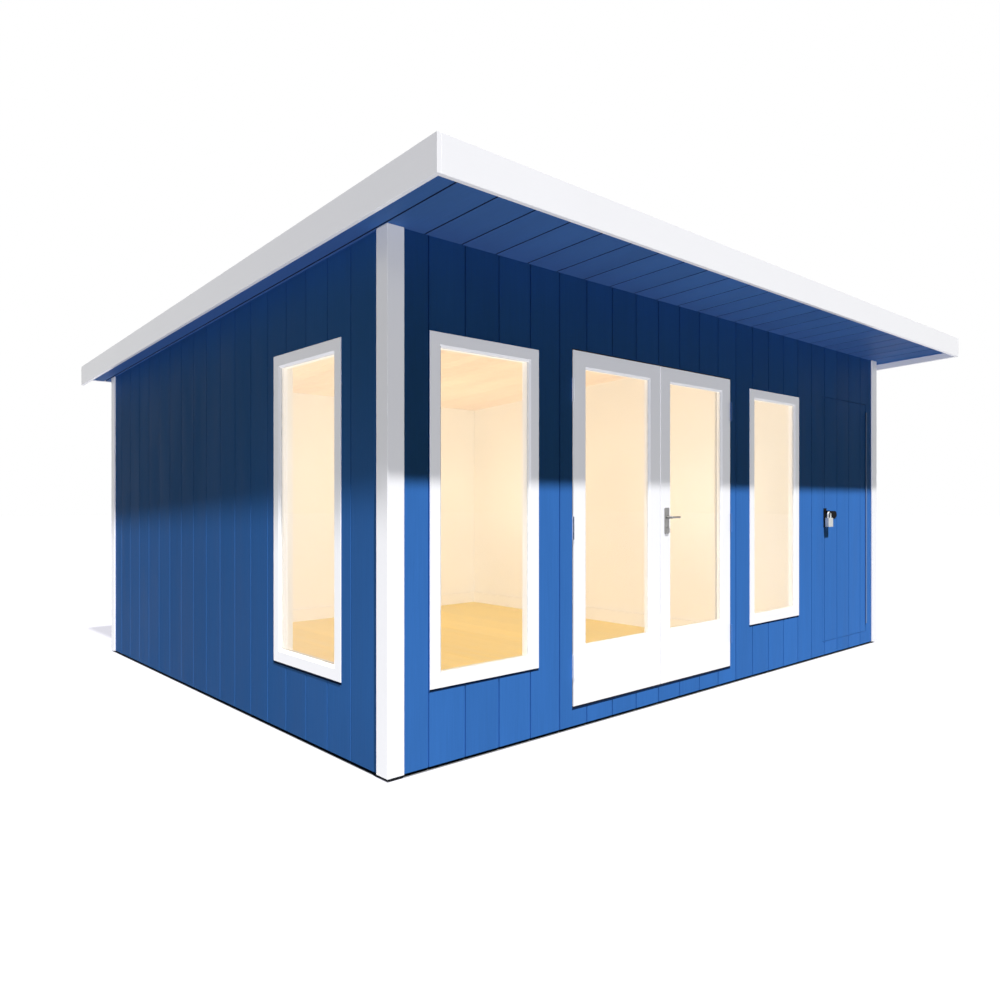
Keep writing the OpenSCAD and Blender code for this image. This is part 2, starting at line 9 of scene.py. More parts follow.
import bmesh
import bpy
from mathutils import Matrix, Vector


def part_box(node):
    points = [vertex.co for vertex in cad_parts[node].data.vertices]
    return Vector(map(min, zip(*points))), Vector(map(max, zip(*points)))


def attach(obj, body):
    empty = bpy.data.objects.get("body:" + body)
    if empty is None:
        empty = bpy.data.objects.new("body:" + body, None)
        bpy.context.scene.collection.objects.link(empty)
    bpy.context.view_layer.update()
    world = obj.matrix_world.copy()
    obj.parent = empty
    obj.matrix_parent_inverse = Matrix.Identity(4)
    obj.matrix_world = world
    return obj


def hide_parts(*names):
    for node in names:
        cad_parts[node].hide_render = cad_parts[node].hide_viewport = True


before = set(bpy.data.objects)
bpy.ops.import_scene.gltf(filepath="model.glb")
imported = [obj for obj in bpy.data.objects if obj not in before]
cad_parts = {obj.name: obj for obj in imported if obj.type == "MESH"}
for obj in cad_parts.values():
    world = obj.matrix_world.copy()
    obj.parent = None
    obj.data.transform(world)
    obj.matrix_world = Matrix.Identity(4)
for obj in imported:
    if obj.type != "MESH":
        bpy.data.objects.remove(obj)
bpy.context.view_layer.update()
random.seed(7)

# Building
LEFT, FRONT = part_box("front_left_post")[0].xy
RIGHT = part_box("front_right_post")[1].x
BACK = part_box("rear_left_post")[1].y
ROOF_SLOPE = math.tan(math.radians(3.0))
SOFFIT_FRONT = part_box("front_left_post")[1].z
CLAD_T = 0.020
WALL_T = 0.102
SOFFIT_T = 0.018
DECK_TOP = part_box("floor_deck")[1].z
GROUND_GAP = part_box("front_left_post")[0].z
JAMB_W = 0.045
LEAF_JOINT = 0.006
SAME = 1e-5  # a length that counts as none

# Boards of the cladding, of the soffit, of the office floor and of the ceiling, and eased edges
BOARD_W = 0.2095
FRONT_GROOVE = 0.2276  # from a corner to the first joint of the boards
SIDE_GROOVE = 0.1003
SOFFIT_GROOVE = 0.2087
SLOT_W = 0.006
SLOT_D = 0.007
SIDE_SLOT_W = 0.004
SIDE_SLOT_D = 0.004
SLOT_SLOPE = 0.0004  # how far the side of a slot leans
SOFFIT_SLOT_W = 0.0095
EASED_EDGE = 0.0015
PLANK_W = 0.140
PLANK_EDGE = 0.0012
CEILING_BOARD_W = 0.120
CEILING_BOARD_T = 0.012
CEILING_BOARD_EDGE = 0.003
POST_EDGE = 0.002
ROOF_BOARD_EDGE = 0.001
LAP_W = 0.075
LAP_H = 0.0016
LAP_THIN = 0.3

# Joinery
WINDOW_FRAME_W = 0.065
STILE_W = 0.100
TOP_RAIL_H = 0.090
BOTTOM_RAIL_H = 0.310
BEAD_W = 0.008
BEAD_EDGE = 0.0015
BEAD_LIP = 0.001
BEAD_RECESS = 0.006
BEAD_STEP = 0.002
REVEAL_START = ("i", 0.0, BEAD_RECESS + BEAD_STEP)
EDGE_R = 0.001
GASKET_ROOT = 0.001
GASKET_REACH = 0.003
GASKET_HEEL = 0.005
GASKET_LIP = 0.001
REVEAL_LINING = 0.054  # depth of the lining behind a window frame
LINING_T = 0.012
SHADOW_GAP = 0.003  # between the boards and a frame
# under a frame the boards stop lower, leaving room for a strip of painted shadow
SILL_GAP = 0.0135
SEAL_GAP = 0.0025  # left open round the store door
SEAL_FRONT, SEAL_BACK = 0.0005, 0.010
DOOR_SEAL_T = 0.0008
DOOR_SEAL_FRONT, DOOR_SEAL_BACK = 0.004, 0.040

# Ironmongery
HINGE_MIDDLE = 1.05  # height of the middle hinges, and a band that holds them
HINGE_BAND = 0.10
LEFT_HINGES_END = -1.0  # hinges left of it hold the left leaf
STORE_HINGE_START = 1.5  # hinges right of it hold the store door
HINGE_LEAF_IN = 0.0016
SCREW_R = 0.0035
SCREW_SIDES = 12
PLATE_BEHIND = 0.002  # from the lock cylinder back to the handle plate
PLATE_SCREW_IN = 0.013
KEY_DROP = 0.038  # from the middle of the plate down to the keyhole
KEYHOLE_HALF_W = 0.0012
KEYHOLE_HALF_H = 0.004
KEYHOLE_FRONT, KEYHOLE_BACK = -0.0003, 0.001
HASP_T = 0.004
HASP_PLATE_W = 0.044
HASP_SCREW_IN = 0.012

# Camera of the photograph, from the front-left corner of the walls on the ground
CAMERA_AT = (-1.8488, -2.7610, 1.1940)
CAMERA_TURN = -42.057
CAMERA_LENS = 28.07
CAMERA_SENSOR = 36.0
CAMERA_SHIFT = (-0.0005, 0.0005)

# Light, as strengths, watts, directions towards the lamps and colours
SUN_FROM = (-0.302, -1.0, 1.862)
SUN_STRENGTH = 5.15
SUN_ANGLE = 1.7
SKY_STRENGTH = 0.015
SKY = (0.94, 0.97, 1.0)
STAGE_SIZE = 60.0
STAGE_MARGIN = 0.008
GROUND_GLOW = (0.74, 0.73, 0.80)
GROUND_SUNLIT = (0.24, 0.24, 0.24)
GROUND_BOUNCE = (0.14, 0.14, 0.10)
PLAIN_LIGHT = (1.0, 1.0, 1.0)
FILL_FROM = (-0.55, -0.55, -0.62)
FILL_FAR = 25.0
FILL_SIZE = 16.0
ROOF_EDGE_FILL = 2.85
ROOF_EDGE_LIGHT = (0.99, 1.0, 1.13)
JOINERY_FILL = 3.45
JOINERY_LIGHT = (0.99, 1.0, 1.10)
SOFFIT_FILL = 1.85
SOFFIT_LIGHT = (1.0, 0.44, 0.405)
ROOM_FILL = 2.3
ROOM_LIGHT = (1.0, 0.98, 0.95)
FAR_FILL_FROM = (0.8, 0.6, 0.0)
FAR_FILL = 1.5
FAR_WALL_FILL = 0.5
SIDE_SUN_FROM = (-0.302, -0.02, 1.862)
SIDE_SUN_FAR = 150.0
SIDE_SUN_STRENGTH = 8.5
CORNER_FILL_W = 3.4
CORNER_FILL_SIZE = 1.0
CORNER_FILL_AT = (-1.3, 0.1, 0.55)  # from the front-left corner of the walls
OFFICE_LAMP_W = 4.0
OFFICE_LAMP_SIZE = 0.45
OFFICE_LAMP_Z = 1.25

# Colours, linear
BLUE = (0.0455, 0.184, 0.575)
# dark blue of the strip under each frame: painted shadow of the frame
PAINTED_SHADOW_BLUE = (0.008, 0.026, 0.085)
# darker blue on the sides of the soffit slots: painted shade
SLOT_SHADE_BLUE = (0.012, 0.040, 0.125)
WHITE = (0.72, 0.72, 0.735)
CREAM = (0.83, 0.777, 0.685)
CEILING = (0.83, 0.67, 0.53)
HONEY = (0.95, 0.71, 0.17)
TIMBER = (0.36, 0.23, 0.12)
# treated timber of the bearers, made darker than its own colour as painted shade under the floor
DARK_TIMBER = (0.050, 0.042, 0.032)
RUBBER = (0.035, 0.036, 0.040)
STEEL = (0.31, 0.305, 0.295)
BLACK = (0.006, 0.006, 0.007)
GASKET = (0.60, 0.60, 0.60)
DARK_MIDDLE_HINGE = (0.012, 0.016, 0.030)
STORE_HINGE = (0.16, 0.27, 0.50)
LOCK_STEEL = (0.68, 0.69, 0.68)
CLEAR = (0.97, 0.985, 0.98)


def soffit_z(y):
    """Height of the underside of the soffit at a depth."""
    return SOFFIT_FRONT - (y - FRONT) * ROOF_SLOPE


# Materials

def math_node(tree, operation, *values):
    """Result of a math node; each value is a number or a socket."""
    made = tree.nodes.new("ShaderNodeMath")
    made.operation = operation
    for place, value in zip(made.inputs, values):
        if isinstance(value, bpy.types.NodeSocket):
            tree.links.new(value, place)
        else:
            place.default_value = value
    return made.outputs["Value"]


def object_axes(tree):
    """Sockets X, Y and Z of the object's own coordinates."""
    place = tree.nodes.new("ShaderNodeTexCoord")
    split = tree.nodes.new("ShaderNodeSeparateXYZ")
    tree.links.new(place.outputs["Object"], split.inputs["Vector"])
    return split.outputs


class Finish:
    """A material with one Principled shader, and short ways to add nodes to it."""

    def __init__(self, name, colour, roughness, **sockets):
        self.material = bpy.data.materials.new(name)
        self.material.use_nodes = True
        self.tree = self.material.node_tree
        self.shader = self.tree.nodes["Principled BSDF"]
        self.set("Base Color", (*colour, 1.0))
        self.set("Roughness", roughness)
        for socket, value in sockets.items():
            self.set(socket.replace("_", " "), value)

    def set(self, socket, value):
        self.shader.inputs[socket].default_value = value

    def node(self, kind, **values):
        made = self.tree.nodes.new(kind)
        for key, value in values.items():
            if key in made.inputs:
                made.inputs[key].default_value = value
            else:
                setattr(made, key, value)
        return made

    def link(self, source, target):
        self.tree.links.new(source, target)

    def noise(self, scale, detail=4.0):
        """Noise stretched by a scale along each axis of the object."""
        place = self.node("ShaderNodeTexCoord")
        stretch = self.node("ShaderNodeMapping", Scale=scale)
        self.link(place.outputs["Object"], stretch.inputs["Vector"])
        made = self.node("ShaderNodeTexNoise", Scale=1.0, Detail=detail)
        self.link(stretch.outputs["Vector"], made.inputs["Vector"])
        return made.outputs["Fac"]

    def mapped(self, source, given, wanted):
        """Maps a given range of a value to the wanted one."""
        made = self.node("ShaderNodeMapRange")
        for name, value in zip(("From Min", "From Max", "To Min", "To Max"), (*given, *wanted)):
            made.inputs[name].default_value = value
        self.link(source, made.inputs["Value"])
        return made.outputs["Result"]

    def spread(self, noise, low, high):
        """Maps the useful middle of a noise to a range."""
        return self.mapped(noise, (0.3, 0.7), (low, high))

    def tint(self, colour, *factors):
        """Base colour times the given brightness factors."""
        total = factors[0]
        for factor in factors[1:]:
            total = math_node(self.tree, "MULTIPLY", total, factor)
        scaled = self.node("ShaderNodeVectorMath", operation="SCALE")
        scaled.inputs[0].default_value = colour
        self.link(total, scaled.inputs["Scale"])
        self.link(scaled.outputs["Vector"], self.shader.inputs["Base Color"])

    def rough(self, source, low, high):
        self.link(self.spread(source, low, high), self.shader.inputs["Roughness"])

    def bump(self, source, distance, strength=1.0):
        made = self.node("ShaderNodeBump", Distance=distance, Strength=strength)
        self.link(source, made.inputs["Height"])
        self.link(made.outputs["Normal"], self.shader.inputs["Normal"])

    def seams(self, axis, pitch, amount, width=0.006):
        """Thin lines a little darker than the rest, across one axis."""
        away = math_node(self.tree, "PINGPONG", object_axes(self.tree)[axis], pitch / 2)
        return self.mapped(away, (0.0, width), (1.0 - amount, 1.0))

    def board_tone(self, amount):
        """Brightness that differs from board to board."""
        board = self.node("ShaderNodeAttribute", attribute_name="board")
        return self.mapped(board.outputs["Fac"], (0.0, 1.0), (1.0 - amount, 1.0 + amount))


def along(axis, fine, long):
    """Scale of a grain that runs along one axis."""
    return tuple(long if i == axis else fine for i in range(3))


def painted_boards(name, colour, axis):
    """Satin paint on planed boards: a faint grain, patches of gloss and a tone for each board."""
    made = Finish(name, colour, 0.55, Specular_IOR_Level=0.03)
    grain = made.noise(along(axis, 160.0, 5.0), 6.0)
    cloud = made.noise(along(axis, 7.0, 1.2), 3.0)
    made.tint(colour, made.board_tone(0.05), made.spread(grain, 0.97, 1.03),
              made.spread(cloud, 0.96, 1.04))
    made.rough(cloud, 0.48, 0.62)
    made.bump(grain, 0.0004, 0.6)
    return made.material


def painted_trim(name, colour, axis):
    """Smooth paint on trim, with brush marks along it."""
    made = Finish(name, colour, 0.40, Coat_Weight=0.6, Coat_Roughness=0.12)
    brush = made.noise(along(axis, 220.0, 4.0), 4.0)
    cloud = made.noise((3.0, 3.0, 3.0), 3.0)
    made.tint(colour, made.spread(cloud, 0.985, 1.0), made.spread(brush, 0.992, 1.0))
    made.rough(cloud, 0.34, 0.46)
    made.bump(brush, 0.00025, 0.5)
    return made.material


def joinery_white():
    """Satin white of the windows and doors, with a very fine orange peel."""
    made = Finish("joinery_white", WHITE, 0.30, Coat_Weight=0.6, Coat_Roughness=0.08)
    peel = made.noise((420.0, 420.0, 420.0), 2.0)
    cloud = made.noise((2.0, 2.0, 1.0), 1.0)
    made.tint(WHITE, made.spread(cloud, 0.995, 1.0))
    made.rough(cloud, 0.29, 0.33)
    made.bump(peel, 0.00012, 0.4)
    return made.material


def wall_paint():
    """Matt cream paint with a roller texture, and faint joints of the panels under it."""
    made = Finish("wall_paint", CREAM, 0.75)
    stipple = made.noise((260.0, 260.0, 260.0), 3.0)
    cloud = made.noise((1.5, 1.5, 1.5), 3.0)
    made.tint(CREAM, made.spread(cloud, 0.97, 1.02), made.seams("X", 0.6, 0.03),
              made.seams("Y", 0.6, 0.03))
    made.bump(stipple, 0.0001, 0.3)
    return made.material


def wood(name, colour, axis, contrast, roughness, tone=0.10):
    """Bare or lacquered wood with rings, fibres and a tone for each board."""
    made = Finish(name, colour, roughness)
    rings = made.noise(along(axis, 28.0, 1.6), 8.0)
    fibre = made.noise(along(axis, 300.0, 9.0), 4.0)
    made.tint(colour, made.board_tone(tone), made.spread(rings, 1.0 - contrast, 1.0 + contrast),
              made.spread(fibre, 0.94, 1.05))
    made.rough(rings, roughness - 0.06, roughness + 0.08)
    made.bump(fibre, 0.0003, 0.5)
    return made.material


def roof_rubber():
    """Dull roofing membrane, dusty in patches."""
    made = Finish("roof_rubber", RUBBER, 0.75)
    dust = made.noise((2.2, 2.2, 2.2), 6.0)
    pebble = made.noise((350.0, 350.0, 350.0), 3.0)
    made.tint(RUBBER, made.spread(dust, 0.8, 1.5))
    made.rough(dust, 0.62, 0.88)
    made.bump(pebble, 0.0005, 0.5)
    return made.material


def metal(name, colour, roughness, axis, share=1.0):
    """Metal brushed along one axis; a share under 1 dulls it."""
    made = Finish(name, colour, roughness, Metallic=share)
    brush = made.noise(along(axis, 900.0, 12.0), 3.0)
    smear = made.noise((40.0, 40.0, 40.0), 3.0)
    made.tint(colour, made.spread(smear, 0.90, 1.05))
    made.rough(smear, roughness - 0.06, roughness + 0.08)
    made.bump(brush, 0.00008, 0.4)
    return made.material


def coated_iron():
    """Black powder coat."""
    made = Finish("coated_iron", BLACK, 0.6, Specular_IOR_Level=0.04)
    grit = made.noise((700.0, 700.0, 700.0), 3.0)
    made.tint(BLACK, made.spread(grit, 0.8, 1.3))
    made.rough(grit, 0.55, 0.7)
    made.bump(grit, 0.00015, 0.5)
    return made.material


def hinge_paint():
    """Paint on the hinges: as the wall or the leaf, dark at the middle hinge of the left leaf, pale
    at the store."""
    made = Finish("hinge_paint", BLUE, 0.5)
    axes = object_axes(made.tree)
    left = math_node(made.tree, "LESS_THAN", axes["X"], LEFT_HINGES_END)
    middle = math_node(made.tree, "COMPARE", axes["Z"], HINGE_MIDDLE, HINGE_BAND)
    dark_middle = math_node(made.tree, "MULTIPLY", middle, left)
    store = math_node(made.tree, "GREATER_THAN", axes["X"], STORE_HINGE_START)
    start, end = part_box("left_door_hinges")[0].x + HINGE_LEAF_IN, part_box("left_door_leaf")[1].x
    leaf = math_node(made.tree, "COMPARE", axes["X"], (start + end) / 2, (end - start) / 2)
    colour = None
    for factor, other in ((left, WHITE), (dark_middle, DARK_MIDDLE_HINGE), (store, STORE_HINGE), (leaf, WHITE)):
        mix = made.node("ShaderNodeMix", data_type="RGBA")
        mix.inputs["A"].default_value = (*BLUE, 1.0)
        mix.inputs["B"].default_value = (*other, 1.0)
        made.link(factor, mix.inputs["Factor"])
        if colour:
            made.link(colour, mix.inputs["A"])
        colour = mix.outputs["Result"]
    made.link(colour, made.shader.inputs["Base Color"])
    made.rough(made.noise((60.0, 60.0, 12.0), 4.0), 0.40, 0.60)
    return made.material


def clear_glass():
    """Clear sealed unit."""
    return Finish("clear_glass", CLEAR, 0.0, IOR=1.45, Transmission_Weight=1.0).material


def plain(name, colour, roughness, **sockets):
    """One colour, a little uneven."""
    made = Finish(name, colour, roughness, **sockets)
    cloud = made.noise((30.0, 30.0, 30.0), 3.0)
    made.tint(colour, made.spread(cloud, 0.9, 1.1))
    return made.material


blue_upright = painted_boards("blue_upright", BLUE, 2)
blue_soffit = painted_boards("blue_soffit", BLUE, 1)
white_upright = painted_trim("white_upright", WHITE, 2)
white_across = painted_trim("white_across", WHITE, 0)
white_deep = painted_trim("white_deep", WHITE, 1)
white_joinery = joinery_white()
cream = wall_paint()
ceiling_paint = painted_boards("ceiling_paint", CEILING, 1)
honey = wood("honey_floor", HONEY, 1, 0.04, 0.38, 0.04)
studs = wood("stud_timber", TIMBER, 2, 0.25, 0.7)
sheathing = wood("sheathing", TIMBER, 2, 0.30, 0.75)
# the bearers' near black is partly their treated timber and partly painted shade
ground_timber = wood("ground_timber", DARK_TIMBER, 0, 0.30, 0.85)
rubber = roof_rubber()
steel = metal("satin_steel", STEEL, 0.32, 0)
hinges = hinge_paint()
lock_steel = metal("lock_steel", LOCK_STEEL, 0.40, 2, 0.2)
iron = coated_iron()
glass = clear_glass()
gasket = plain("gasket", GASKET, 0.6)
# black patch for the keyhole: painted shade of its hollow
keyway = plain("keyway", BLACK, 0.5)
# the dark strip under each frame is painted shadow of the frame
painted_shadow = plain("drip_strip", PAINTED_SHADOW_BLUE, 0.7, Specular_IOR_Level=0.03)
# finish of the soffit slot sides, painted shade in the grooves
slot_shade = plain("slot_shade", SLOT_SHADE_BLUE, 0.8, Specular_IOR_Level=0.03)
seal = plain("door_seal", BLACK, 0.7)


# Making pieces

def piece(name, mesh, body, materials, replaced=()):
    """Adds a mesh as a piece that rides on a body and stands for CAD nodes."""
    made = bpy.data.objects.new(name, mesh)
    bpy.context.scene.collection.objects.link(made)
    for material in materials:
        mesh.materials.append(material)
    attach(made, body)
    if replaced:
        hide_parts(*replaced)
    return made


def to_mesh(bm, name):
    """What was built, as a mesh with its faces turned outward."""
    bmesh.ops.recalc_face_normals(bm, faces=bm.faces)
    mesh = bpy.data.meshes.new(name)
    bm.to_mesh(mesh)
    bm.free()
    return mesh


def built(bm, name, body, materials, replaced=()):
    """Adds what was built as a piece."""
    return piece(name, to_mesh(bm, name), body, materials, replaced)


def dress(material, *nodes):
    """Gives each CAD node that is shown as it is its finish."""
    for node in nodes:
        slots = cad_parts[node].data.materials
        slots.clear()
        slots.append(material)


def eased(node, material, width=POST_EDGE, segments=2):
    """A CAD node of the building with its sharp edges eased."""
    made = piece(node + "_eased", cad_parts[node].data.copy(), "building", (), (node,))
    made.data.materials.clear()
    made.data.materials.append(material)
    bm = bmesh.new()
    bm.from_mesh(made.data)
    bmesh.ops.remove_doubles(bm, verts=bm.verts, dist=SAME)
    bmesh.ops.dissolve_limit(bm, angle_limit=math.radians(1.0), verts=bm.verts, edges=bm.edges)
    for face in bm.faces:
        face.smooth = False
        face.material_index = 0
    bm.to_mesh(made.data)
    bm.free()
    bevel = made.modifiers.new("eased", "BEVEL")
    bevel.width = width
    bevel.segments = segments
    bevel.limit_method = "ANGLE"
    bevel.angle_limit = math.radians(40.0)


def prism(bm, outline, low, high, at, tone=0.5, material=0, deep=None):
    """Runs an outline of (a, d) points from t = low to t = high(a); at(a, d, t) places a point. The sides
    below the eased edge may have a deep material of their own, a darker finish that is painted shade."""
    layer = bm.faces.layers.float.get("board") or bm.faces.layers.float.new("board")
    bottom = [bm.verts.new(at(a, d, low)) for a, d in outline]
    top = [bm.verts.new(at(a, d, high(a))) for a, d in outline]
    faces = [bm.faces.new(bottom), bm.faces.new(list(reversed(top)))]
    for i in range(len(outline)):
        j = (i + 1) % len(outline)
        faces.append(bm.faces.new((bottom[i], top[i], top[j], bottom[j])))
    for face in faces:
        face[layer] = tone
        face.material_index = material
    if deep is not None:
        for i, face in enumerate(faces[2:]):
            if min(outline[i][1], outline[(i + 1) % len(outline)][1]) >= EASED_EDGE:
                face.material_index = deep


class Profile:
    """Section across one board: the depth of its face at each distance from its left edge."""

    def __init__(self, points):
        self.points = points

    def depth(self, u):
        for (u0, d0), (u1, d1) in zip(self.points, self.points[1:]):
            if u <= u1:
                return d0 + (d1 - d0) * (u - u0) / (u1 - u0)
        return self.points[-1][1]

    def outline(self, start, s0, s1, back):
        """Outline of the stretch from s0 to s1 of the board that starts at start."""
        inner = [start + u for u, _ in self.points if s0 < start + u < s1]
        front = [(s, self.depth(s - start)) for s in (s0, *inner, s1)]
        return front + [(s1, back), (s0, back)]


def slot_profile(width, slot_w=SLOT_W, slot_d=SLOT_D):
    """A board with eased edges and a slot along its right edge."""
    lip = width - slot_w
    return Profile([(0.0, EASED_EDGE), (EASED_EDGE, 0.0), (lip - EASED_EDGE, 0.0), (lip, EASED_EDGE),
                    (lip + SLOT_SLOPE, slot_d), (width, slot_d)])


def vee_profile(width, vee):
    """A board with both edges eased."""
    return Profile([(0.0, vee), (vee, 0.0), (width - vee, 0.0), (width, vee)])


def flat_profile(width, depth):
    """A face without slots at one depth."""
    return Profile([(0.0, depth), (width, depth)])


def lay_boards(bm, span, width, phase, profile, back, low, high, at, holes=(), material=0, deep=None):
    """Fills a span with boards, cut round rectangular holes of (a0, a1, t0, t1)."""
    a0, a1 = span
    for index in range(math.floor((a0 - phase) / width), math.ceil((a1 - phase) / width)):
        start = phase + index * width
        tone = random.random()
        left, right = max(a0, start), min(a1, start + width)
        cuts = sorted({left, right} | {c for hole in holes for c in hole[:2] if left < c < right})
        for s0, s1 in zip(cuts, cuts[1:]):
            if s1 - s0 < SAME:
                continue
            outline = profile.outline(start, s0, s1, back)
            level = low
            middle = (s0 + s1) / 2
            for hole in sorted((h for h in holes if h[0] < middle < h[1]), key=lambda h: h[2]):
                if hole[2] > level + SAME:
                    prism(bm, outline, level, lambda a, z=hole[2]: z, at, tone, material, deep)
                level = hole[3]
            if high(middle) > level + SAME:
                prism(bm, outline, level, high, at, tone, material, deep)


def wall_place(origin, across, inward):
    """Places (a, d, t) on a wall with its left end at origin."""
    start, side, deep = Vector(origin), Vector(across), Vector(inward)
    return lambda a, d, t: start + side * a + deep * d + Vector((0, 0, t))


# Walls

def node_hole(node):
    """The box of a node as a hole (a0, a1, t0, t1) in a wall along the width."""
    low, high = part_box(node)
    return (low.x, high.x, low.z, high.z)


def boards_hole(hole):
    """The hole that the boards leave round a frame, larger under it."""
    return (hole[0] - SHADOW_GAP, hole[1] + SHADOW_GAP, hole[2] - SILL_GAP, hole[3] + SHADOW_GAP)


def door_hole(*leaves):
    """The doorway round one or more leaves, larger by the joint."""
    lows, highs = zip(*(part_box(leaf) for leaf in leaves))
    return (min(v.x for v in lows) - LEAF_JOINT, max(v.x for v in highs) + LEAF_JOINT,
            min(v.z for v in lows) - LEAF_JOINT, max(v.z for v in highs) + LEAF_JOINT)


double_door_hole = door_hole("left_door_leaf", "right_door_leaf")
store_door_hole = door_hole("store_door_leaf")
front_window_holes = [node_hole("front_left_window_frame"), node_hole("front_right_window_frame")]


def core_hole(hole):
    """A doorway in the stud frame, wider by the jambs and down to the deck."""
    return (hole[0] - JAMB_W, hole[1] + JAMB_W, DECK_TOP, hole[3] + JAMB_W)


def clad_wall(name, nodes, span, core, phase, at, head, holes, core_holes, profile):
    """Boards outside from post to post and a stud frame inside, to just under the roof."""
    bm = bmesh.new()
    lay_boards(bm, span, BOARD_W, phase, profile, CLAD_T, GROUND_GAP, head, at, holes)
    length = core[1] - core[0]
    lay_boards(bm, core, length, core[0], flat_profile(length, CLAD_T), WALL_T, DECK_TOP, head, at,
               core_holes, 1)
    built(bm, name, "building", (blue_upright, studs), nodes)


def opening_seals(name, holes, at):
    """A seal between the boards and each frame that they meet, and under the frame a dark blue strip that
    is painted shadow of the frame.
    """
    section = [("o", 0.0, SEAL_FRONT), ("i", 0.0, SEAL_FRONT), ("i", 0.0, SEAL_BACK), ("o", 0.0, SEAL_BACK)]
    bm = bmesh.new()
    for hole in holes:
        ring(bm, boards_hole(hole), hole, section, at, sill=1)
    built(bm, name, "building", (blue_upright, painted_shadow))


def front_wall():
    """The wall with the doors and two windows."""
    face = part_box("front_wall_left")[0]
    span = (face.x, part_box("front_wall_right")[1].x)
    at = wall_place((0, face.y, 0), (1, 0, 0), (0, 1, 0))
    top = soffit_z(face.y) + SOFFIT_T / 2
    holes = [*(boards_hole(hole) for hole in (*front_window_holes, double_door_hole)), store_door_hole]
    cores = [*front_window_holes, core_hole(double_door_hole), core_hole(store_door_hole)]
    nodes = ("front_wall_left", "front_wall_middle", "front_wall_right", "front_wall_headers",
             "front_wall_skirts")
    core = (span[0] + CLAD_T, span[1] - CLAD_T)
    clad_wall("front_cladding", nodes, span, core, LEFT + FRONT_GROOVE, at, lambda a: top, holes, cores,
              slot_profile(BOARD_W))
    opening_seals("front_seals", (*front_window_holes, double_door_hole), at)


def side_wall(name, node, across, inward, x, holes):
    """A side wall; a is measured along y, from left to right seen from outside."""
    low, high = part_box(node)
    at = wall_place((x, 0, 0), (0, across, 0), (inward, 0, 0))
    core = tuple(sorted((low.y * across, high.y * across)))
    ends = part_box("front_wall_left")[0].y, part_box("back_wall")[1].y
    span = tuple(sorted(end * across for end in ends))
    head = lambda a: soffit_z(a * across) + SOFFIT_T / 2
    phase = (FRONT + SIDE_GROOVE) * across
    clad_wall(name, (node,), span, core, phase, at, head, [boards_hole(hole) for hole in holes], holes,
              slot_profile(BOARD_W, SIDE_SLOT_W, SIDE_SLOT_D))


def left_wall():
    """The side wall with a window."""
    low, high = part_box("side_window_frame")
    hole = (-high.y, -low.y, low.z, high.z)
    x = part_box("left_wall")[0].x
    side_wall("left_cladding", "left_wall", -1, 1, x, [hole])
    opening_seals("side_seals", (hole,), wall_place((x, 0, 0), (0, -1, 0), (1, 0, 0)))


def right_wall():
    """The plain side wall of the store."""
    side_wall("right_cladding", "right_wall", 1, -1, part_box("right_wall")[1].x, [])


def back_wall():
    """The plain wall at the back."""
    low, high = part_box("back_wall")
    at = wall_place((0, high.y, 0), (-1, 0, 0), (0, -1, 0))
    top = soffit_z(high.y) + SOFFIT_T / 2
    span = (-high.x, -low.x)
    core = (span[0] + CLAD_T, span[1] - CLAD_T)
    clad_wall("back_cladding", ("back_wall",), span, core, -RIGHT + FRONT_GROOVE, at,
              lambda a: top, [], [], slot_profile(BOARD_W))


def store_door():
    """The clad leaf: boards in line with the wall's, on a flat backing."""
    low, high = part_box("store_door_leaf")
    at = wall_place((0, low.y, 0), (1, 0, 0), (0, 1, 0))
    bm = bmesh.new()
    lay_boards(bm, (low.x, high.x), BOARD_W, LEFT + FRONT_GROOVE, slot_profile(BOARD_W), CLAD_T,
               low.z, lambda a: high.z, at)
    width = high.x - low.x
    lay_boards(bm, (low.x, high.x), width, low.x, flat_profile(width, CLAD_T), high.y - low.y,
               low.z, lambda a: high.z, at, (), 1)
    built(bm, "store_door_boards", "store_door", (blue_upright, white_joinery),
          ("store_door_leaf",))
    store_door_seals(low, high, at)


def store_door_seals(low, high, at):
    """Painted strips that nearly close the joint over, under and before the free edge of the leaf."""
    bm = bmesh.new()
    reach = LEAF_JOINT - SEAL_GAP
    bars = ((low.x - reach, low.x, low.z - reach, high.z + reach),
            (low.x, high.x, high.z, high.z + reach),
            (low.x, high.x, low.z - reach, low.z))
    for a0, a1, t0, t1 in bars:
        outline = [(a0, SEAL_FRONT), (a1, SEAL_FRONT), (a1, SEAL_BACK), (a0, SEAL_BACK)]
        prism(bm, outline, t0, lambda a, top=t1: top, at)
    built(bm, "store_door_seals", "store_door", (blue_upright,))


# Roof, floor and ceiling boards

def soffit():
    """Boards from front to back outside the walls; the sides of their slots have a darker finish, as
    painted shade.
    """
    low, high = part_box("soffit_boards")
    at = lambda a, d, t: Vector((a, t, soffit_z(t) + d))
    front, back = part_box("front_wall_left")[0].y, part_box("back_wall")[1].y
    left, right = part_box("left_wall")[0].x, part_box("right_wall")[1].x
    bm = bmesh.new()
    lay_boards(bm, (low.x, high.x), BOARD_W, LEFT + SOFFIT_GROOVE,
               slot_profile(BOARD_W, SOFFIT_SLOT_W, SLOT_D), SOFFIT_T, low.y, lambda a: high.y, at,
               [(left, right, front, back)], deep=1)
    built(bm, "soffit", "building", (blue_soffit, slot_shade), ("soffit_boards",))


def floor_planks():
    """Planks of the office floor, from front to back."""
    low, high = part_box("office_floor")
    bm = bmesh.new()
    lay_boards(bm, (low.x, high.x), PLANK_W, low.x, vee_profile(PLANK_W, PLANK_EDGE), high.z - low.z,
               low.y, lambda a: high.y, lambda a, d, t: Vector((a, t, high.z - d)))
    built(bm, "floor_planks", "building", (honey,), ("office_floor",))


